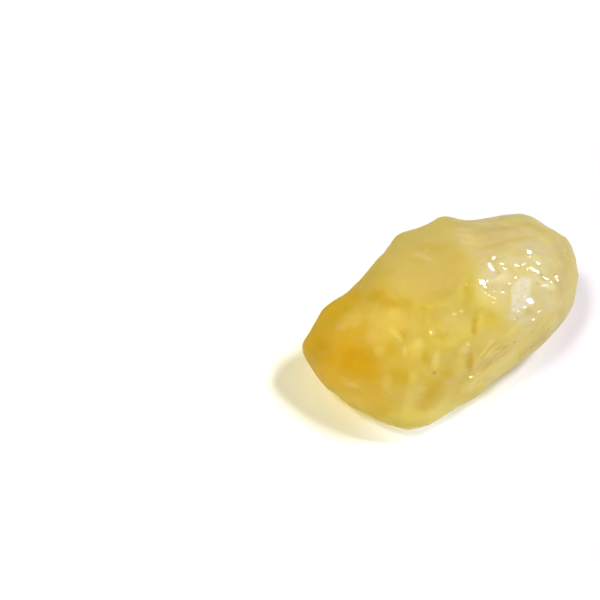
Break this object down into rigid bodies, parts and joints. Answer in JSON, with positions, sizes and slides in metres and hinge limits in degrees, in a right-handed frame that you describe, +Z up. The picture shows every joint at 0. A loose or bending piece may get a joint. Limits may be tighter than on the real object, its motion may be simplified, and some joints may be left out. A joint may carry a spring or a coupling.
{
  "type": "rough citrine stone",
  "caption": "Loose rough citrine stone, see-through pale yellow quartz with a golden tip, a smooth scooped facet and a chipped glossy end, lying on its flattest fracture.",
  "frame": {"origin": "middle of the stone's box in X and Y, on the surface it lies on", "axes": "+X along the stone from its pointed golden end to its blunt pale end, +Z up from the resting face"},
  "size_m": [0.0368, 0.0228, 0.017],
  "materials": {
    "citrine": "glossy on fresh chips, satin to matte on worn faces"
  },
  "bodies": {
    "root": {"citrine_stone": "citrine"}
  },
  "joints": []
}
